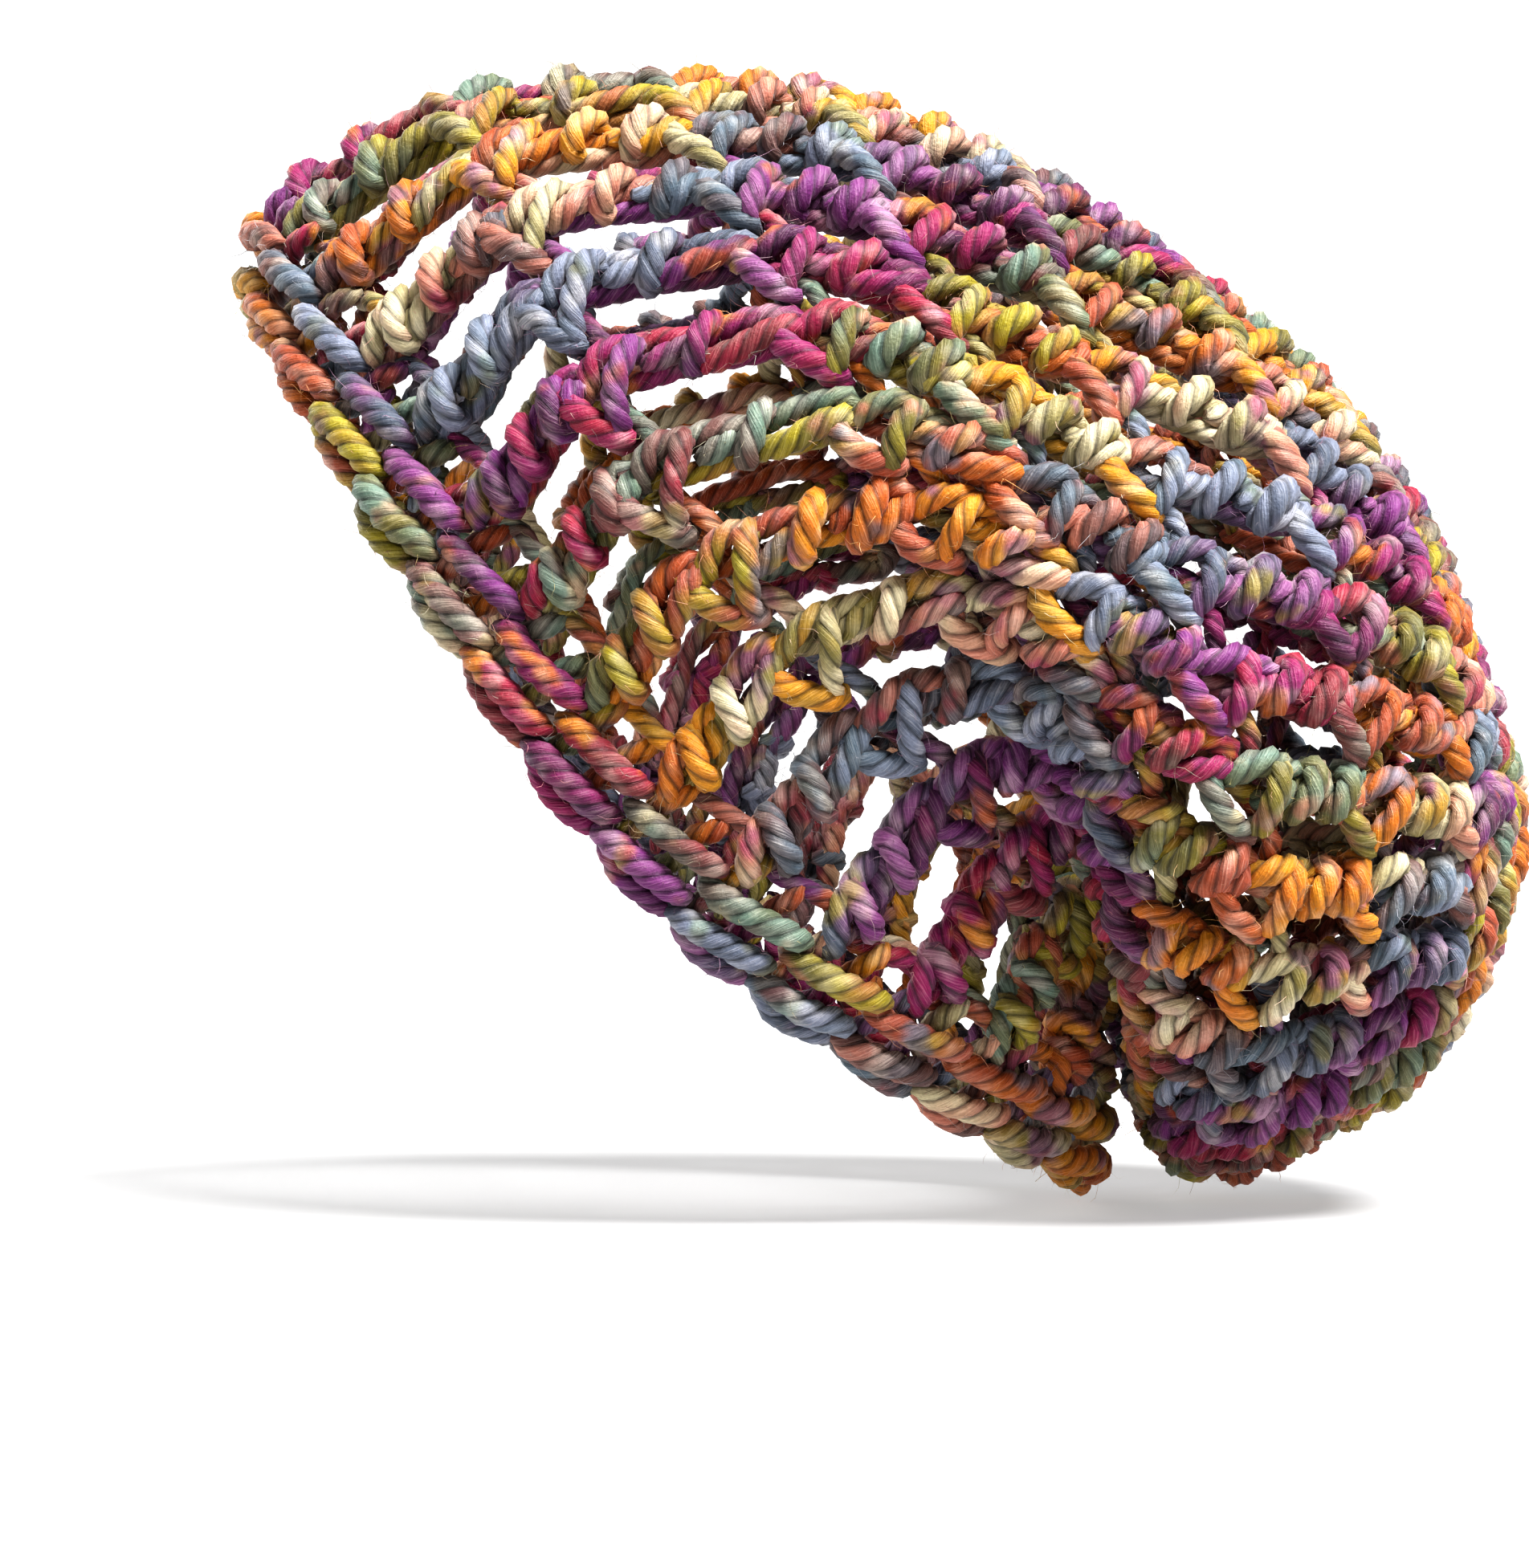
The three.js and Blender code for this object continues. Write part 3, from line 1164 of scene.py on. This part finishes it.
@dataclass
class StitchRound(YarnPiece):
    """One round of tall open stitches, with the links and ties that join them to the rounds beside it.

    Attributes:
        foot: the level on which the stitches stand.
        feet: how many stand there.
        heads: how many places their heads share.
        shifts: where the first foot and the first head are, in stitches from the middle of the front.
        hooked: whether the first wraps hang over the row below.
        linked: whether links run on from the heads to the round above.
        third_share: the share of the longer stitches that have a third wrap.
        pair_gap: how far to either side of a shared place two heads lie, in millimetres.
        hang: how far below a stitch's foot a hooked wrap reaches, in millimetres.
        rises: the least and the most of the usual rise that a stitch has.
        strand_step: how much further on the row of dye baths a stitch's next strand is, in repeats.
        strand_spread: how far a strand's dye strays from that.
    """

    foot: int = 1
    feet: int = 30
    heads: int = 30
    shifts: tuple[float, float] = (0.5, 0.5)
    hooked: bool = True
    linked: bool = True
    third_share: float = 0.7
    pair_gap: float = 1.6
    hang: float = 11.6
    rises: tuple[float, float] = (0.93, 1.06)
    strand_step: float = 0.02
    strand_spread: float = 0.045

    def lay(self) -> None:
        """Lay every stitch, then the strands that run round."""
        low = self.form.spots(self.foot, self.feet, self.shifts[0])
        ring, _ = self.form.ring(self.foot)
        gap = ring.length / MM / self.feet
        share = np.linspace(0, 1, 25)
        for number, (start, end) in enumerate(zip(low, self._head_angles())):
            line = self.form.line(start + (end - start) * share, self.foot + share)
            self._lay_stitch(line, start, gap, self.dye_at(number))
        self._lay_ties(gap)
        if self.linked:
            self._lay_links()

    def _head_angles(self) -> np.ndarray:
        """Find the angles at which the stitches' heads lie.

        Returns:
            One angle per stitch.
        """
        if self.heads == self.feet:
            return self.form.spots(self.foot + 1, self.heads, self.shifts[1])
        ring, angle = self.form.ring(self.foot + 1)
        number = np.arange(self.feet)
        side = np.where(number % 2 == 0, -1, 1) * self.pair_gap * MM
        return np.interp((number // 2 + self.shifts[1]) / self.heads * ring.length + side, ring.marks, angle)

    def _lay_stitch(self, line: SmoothLine, angle: float, gap: float, dye: float) -> None:
        """Lay one stitch along its line.

        Args:
            line: from the stitch's foot to its head.
            angle: where its foot is round the hat.
            gap: the distance from one foot to the next, in millimetres.
            dye: where the stitch is on the dyed yarn, in metres.
        """
        third_from = Stitch.third_from if self.random.random() < self.third_share else math.inf
        rise = Stitch.rise * self.random.uniform(*self.rises)
        stitch = Stitch(line.length / MM, rise=rise, third_from=third_from)
        round_way = unit(self.form.onward(np.array([angle]), np.full(1, float(self.foot))))[0]
        lean = float(np.clip(np.sum(round_way * line.tangents[0]), -0.9, 0.9))
        upright = math.sqrt(1 - lean**2)
        hang = self.hang * min(1.0, gap / NEAR_GAP)
        low = (hang * lean + 1.3 * upright, -hang * upright + 1.3 * lean)
        for order, (points, thick) in enumerate(stitch.strands(low, self.hooked)):
            on = self.strand_step * order + self.random.normal(0.0, self.strand_spread)
            self.put(line, points, dye + on * DYE_REPEAT, thick, loose=0.25)

    def _lay_ties(self, gap: float) -> None:
        """Lay the thin strand that runs on behind from each foot to the next.

        Args:
            gap: the distance from one foot to the next, in millimetres.
        """
        ring, marks = self.form.marks(self.foot, self.feet, self.shifts[0])
        stretch = gap / NEAR_GAP
        points = [
            (2.0 * stretch, 1.6, -3.8),
            (7.6 * stretch, 3.4, -3.5),
            (11.6 * stretch, 4.7, -2.0),
            (15.4 * stretch, 5.7, -1.5),
            (gap - 2.4, 5.0, -2.6),
            (gap + 1.0, 2.6, -3.8),
        ]
        for number, mark in enumerate(marks):
            dye = self.dye_at(number + 0.5) + self.random.normal(0.2, 0.08)
            self.put(ring, points, dye, 0.8, at=(mark, 0))

    def _lay_links(self) -> None:
        """Lay the thick strand that runs from under each head to the foot of the stitch above."""
        ring, marks = self.form.marks(self.foot + 1, self.heads, self.shifts[1])
        stretch = min(1.0, ring.length / MM / self.heads / NEAR_GAP)
        points = [
            (-3.4 * stretch, -2.2, -2.8),
            (-2.0 * stretch, -4.4, -0.6),
            (1.4 * stretch, -5.0, 1.5),
            (5.4 * stretch, -3.8, 2.3),
            (9.2 * stretch, -1.7, 1.8),
            (12.0 * stretch, 0.2, 0.0),
            (13.2 * stretch, 1.2, -2.4),
            (11.4 * stretch, 1.4, -4.0),
        ]
        for number, mark in enumerate(marks):
            dye = self.dye_at((number + 0.6) * self.feet / self.heads) + self.random.normal(0.0, 0.06)
            self.put(ring, points, dye, 1.08, at=(mark, 0))


@dataclass
class BandRow(YarnPiece):
    """One chain-like row of the brim band.

    Attributes:
        level: the level that its strands lie on.
        shift: how far up the fabric from there they lie, in millimetres.
        count: how many strands go round.
        edge: whether this is the row at the very edge, with the strand that runs under it.
        phase: where the middle of the first strand is, in millimetres from the middle of the front.
        legs_to: how far up the short legs behind the row reach, in millimetres.
    """

    level: float = 0.0
    shift: float = 3.2
    count: int = 31
    edge: bool = True
    phase: float = 10.0
    legs_to: float = 8.6

    def lay(self) -> None:
        """Lay the row's long strands and the short legs behind them."""
        ring, _ = self.form.ring(self.level)
        gap = ring.length / MM / self.count
        stretch = gap / NEAR_GAP
        for number in range(self.count):
            middle, dye = self.phase + gap * number, self.dye_at(number)
            self.put(ring, self._long(stretch), dye, 1.14, (middle, self.shift), 0.25, taper=6.5)
            if self.edge:
                self.put(ring, self._under(stretch), dye + 0.06, 0.92, (middle, self.shift), 0.25, taper=5.0)
            for place, out in ((-6.4, 0.0), (3.6, -1.2)):
                leg_dye = dye + self.random.normal(0.4, 0.15)
                self.put(ring, self._leg(out), leg_dye, 0.88, (middle + place * stretch, self.shift), 0.25)

    @staticmethod
    def _long(stretch: float) -> Points:
        """The long strand in front, which comes out beside the end of the one before.

        Args:
            stretch: how wide the row's strands are spaced, as a share of the usual gap.

        Returns:
            The strand's points.
        """
        return [
            (-12.6 * stretch, -2.4, -1.6),
            (-11.0 * stretch, -2.2, 0.2),
            (-7.0 * stretch, -1.2, 1.9),
            (0.0, 0.0, 2.8),
            (7.0 * stretch, 1.2, 2.5),
            (10.8 * stretch, 2.0, 1.2),
            (12.6 * stretch, 2.5, -1.2),
        ]

    @staticmethod
    def _under(stretch: float) -> Points:
        """The strand that shows along the very edge.

        Args:
            stretch: how wide the row's strands are spaced, as a share of the usual gap.

        Returns:
            The strand's points.
        """
        return [
            (-13.0 * stretch, -0.6, -2.6),
            (-8.0 * stretch, -2.9, -0.9),
            (-2.0 * stretch, -4.3, -0.2),
            (5.0 * stretch, -4.0, -0.6),
            (10.5 * stretch, -2.8, -1.8),
            (13.0 * stretch, -1.4, -3.2),
        ]

    def _leg(self, out: float) -> Points:
        """A short strand that goes up behind this row to the next.

        Args:
            out: how far out its middle stands, in millimetres.

        Returns:
            The strand's points.
        """
        return [
            (-1.8, -1.4, -2.8),
            (-1.0, 1.2, -2.0),
            (0.2, 0.5 * self.legs_to, -0.9 + out),
            (1.3, 0.85 * self.legs_to, -1.6),
            (1.6, self.legs_to + 1.2, -2.8),
        ]


@dataclass
class ClosedCrown(YarnPiece):
    """The drawn-in ring at the crown: stitches gathered tight round a small eye.

    Attributes:
        level: the level that it lies on.
        loops: how many loops close it.
        turns: how far up the fabric and how far out each turn of the ring lies, in millimetres.
        turn_step: how much further on the row of dye baths the next turn is, in repeats.
    """

    level: float = 9.0
    loops: int = 8
    turns: tuple[tuple[float, float], ...] = ((2.0, 0.6), (6.2, -0.4))
    turn_step: float = 0.1

    def lay(self) -> None:
        """Lay the ring and the loops that close it."""
        ring, _ = self.form.ring(self.level)
        around = ring.length / MM
        for turn, (up, out) in enumerate(self.turns):
            path = ring.place(np.array([(mark, up, out) for mark in np.linspace(0, around, 17)]))
            self.skein.strands.append(Strand(path, 1.0, (self.dye_start + self.turn_step * turn) * DYE_REPEAT, 0.0))
        loop = [(-1.0, -3.4, -2.2), (-0.5, -1.6, 1.2), (0.3, 2.4, 3.0), (0.8, 6.6, 1.8), (0.4, 10.4, -1.0)]
        for number in range(self.loops):
            self.put(ring, loop, self.dye_at(number), 0.95, at=(around * number / self.loops, 0), loose=0.2)


# ---- the setting ----


@dataclass
class Studio:
    """The floor, the light and the camera.

    Attributes:
        middle: the point that the camera looks at.
        distance: from there to the camera.
        seen_height: how much the frame's longer side takes in at the middle.
        sensor: the camera's sensor size, in millimetres.
        floor_height: where the floor lies, just under the lowest yarn.
        floor_radius: of the floor.
        all_round: how strongly the surroundings light the hat.
        backdrop: how bright they look.
        suns: each sun's name, the way to it, its width in degrees and its strength.
    """

    middle: tuple[float, float, float] = (0.0, 0.0315, -0.1362)
    distance: float = 1.1
    seen_height: float = 0.3202
    sensor: float = 36.0
    floor_height: float = -0.2216
    floor_radius: float = 60.0
    all_round: float = 0.06
    backdrop: float = 0.93
    suns: tuple[tuple[str, tuple[float, float, float], float, float], ...] = (
        ("key_light", (0.42, 0.42, 1.0), 26.0, 7.3),
        ("fill_light", (1.0, -0.7, 0.3), 60.0, 0.2),
        ("far_light", (-0.9, -1.0, 0.6), 60.0, 2.0),
    )

    def build(self) -> None:
        """Make the setting."""
        self._floor()
        self._world()
        for sun in self.suns:
            self._sun(*sun)
        self._camera()

    def _floor(self) -> None:
        """Lay a wide pale floor under the hat."""
        bpy.ops.object.select_all(action="DESELECT")
        place = (0.0, 0.0, self.floor_height)
        bpy.ops.mesh.primitive_circle_add(vertices=96, radius=self.floor_radius, fill_type="NGON", location=place)
        floor = bpy.context.object
        floor.name = "floor"
        bpy.ops.object.transform_apply(location=True, rotation=True, scale=True)
        floor.data.materials.append(StudioFinish().make())

    def _world(self) -> None:
        """Light the scene a little from all round with a soft white, and show that white as a bright backdrop."""
        world = bpy.data.worlds.new("soft_white")
        board = Board(world)
        seen = board.node("ShaderNodeLightPath").outputs["Is Camera Ray"]
        levels = {"Value": seen, "To Min": self.all_round, "To Max": self.backdrop}
        strength = board.node("ShaderNodeMapRange", inputs=levels).outputs[0]
        light = board.node("ShaderNodeBackground", inputs={"Color": WHITE, "Strength": strength})
        board.node("ShaderNodeOutputWorld", inputs={0: light.outputs[0]})
        bpy.context.scene.world = world

    @staticmethod
    def _sun(name: str, way: tuple[float, float, float], softness: float, power: float) -> None:
        """Shine an even soft light from far away.

        Args:
            name: the light's name.
            way: the direction from the hat to the light.
            softness: how wide the light looks from the hat, in degrees.
            power: its strength on a surface that faces it.
        """
        data = bpy.data.lights.new(name, "SUN")
        data.angle, data.energy = math.radians(softness), power
        lamp = bpy.data.objects.new(name, data)
        lamp.rotation_mode = "QUATERNION"
        lamp.rotation_quaternion = (-Vector(way)).to_track_quat("-Z", "Y")
        lamp.location = Vector(way)
        bpy.context.scene.collection.objects.link(lamp)

    def _camera(self) -> None:
        """Set the camera square to the hat's left side."""
        data = bpy.data.cameras.new("camera")
        data.sensor_width = self.sensor
        data.lens = self.sensor * self.distance / self.seen_height
        camera = bpy.data.objects.new("camera", data)
        camera.location = Vector(self.middle) + Vector((self.distance, 0.0, 0.0))
        camera.rotation_euler = (math.pi / 2, 0.0, math.pi / 2)
        bpy.context.scene.collection.objects.link(camera)
        bpy.context.scene.camera = camera


# ---- the whole hat ----


class RoundRow(NamedTuple):
    """What differs from one round of tall stitches to the next.

    Attributes:
        shift: where the first foot stands, in stitches from the middle of the front.
        dye_start: where the first stitch is on the row of dye baths, in repeats.
        dye_step: how much further on the next stitch is, in repeats.
        third_share: the share of the longer stitches that have a third wrap.
    """

    shift: float
    dye_start: float
    dye_step: float
    third_share: float


ROUND_ROWS = (
    RoundRow(0.2, 0.58, 0.18, 0.1),
    RoundRow(0.43, 0.616, 0.182, 0.3),
    RoundRow(0.55, 0.921, 0.155, 0.7),
    RoundRow(0.6, 0.02, 0.195, 0.8),
    RoundRow(0.65, 0.331, 0.179, 0.8),
    RoundRow(0.68, 0.665, 0.17, 0.8),
    RoundRow(0.7, 0.1, 0.17, 0.6),
    RoundRow(0.55, 0.3, 0.13, 0.7),
)  # from the brim up, the crown round last
FEET, CROWN_FEET = 30, 15  # how many stitches go round, below the crown and in it


def hat_pieces(form: HatForm, yarn: PliedYarn) -> list[YarnPiece]:
    """List the hat's pieces from the brim to the crown.

    Args:
        form: the hat's form.
        yarn: the yarn that all of it is made of.

    Returns:
        The pieces, not yet built.
    """
    pieces: list[YarnPiece] = [
        BandRow(form, yarn, "brim_edge_row_yarn", "brim_edge_row", "brim_yarn", 11,
                dye_start=1.0575, dye_step=-0.075, shift=3.0),
        BandRow(form, yarn, "brim_band_row_yarn", "brim_band_row", "brim_yarn", 12,
                dye_start=0.22, dye_step=0.06, level=0.5, shift=3.8, edge=False, phase=14.0),
    ]
    *rounds, crown = ROUND_ROWS
    for number, (row, above) in enumerate(zip(rounds, ROUND_ROWS[1:]), start=1):
        heads = CROWN_FEET if above is crown else FEET
        pieces.append(
            StitchRound(form, yarn, f"mesh_round_{number}_stitches", f"mesh_round_{number}", "mesh_yarn", 20 + number,
                        dye_start=row.dye_start, dye_step=row.dye_step, foot=number, feet=FEET, heads=heads,
                        shifts=(row.shift, above.shift), hooked=number > 1, third_share=row.third_share)
        )
    pieces.append(
        StitchRound(form, yarn, "crown_round_stitches", "crown_round", "crown_yarn", 40,
                    dye_start=crown.dye_start, dye_step=crown.dye_step, foot=len(ROUND_ROWS), feet=CROWN_FEET,
                    heads=CROWN_FEET, shifts=(crown.shift, crown.shift), third_share=crown.third_share, linked=False)
    )
    pieces.append(ClosedCrown(form, yarn, "crown_closure_ring", "crown_closure", "crown_yarn", 41, dye_start=0.1))
    return pieces


def main() -> None:
    """Build the hat round its frame, then the setting."""
    logging.basicConfig(level=logging.INFO, format="%(message)s")
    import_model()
    bpy.context.scene.view_settings.view_transform = "Standard"
    bpy.context.scene.view_settings.look = "High Contrast"
    form, yarn = HatForm(), PliedYarn()
    finish = DyedYarnFinish("hand_dyed_yarn", yarn).make()
    for piece in hat_pieces(form, yarn):
        piece.build()
        piece.dress(finish)
    Studio().build()


if __name__ == "__main__":
    main()
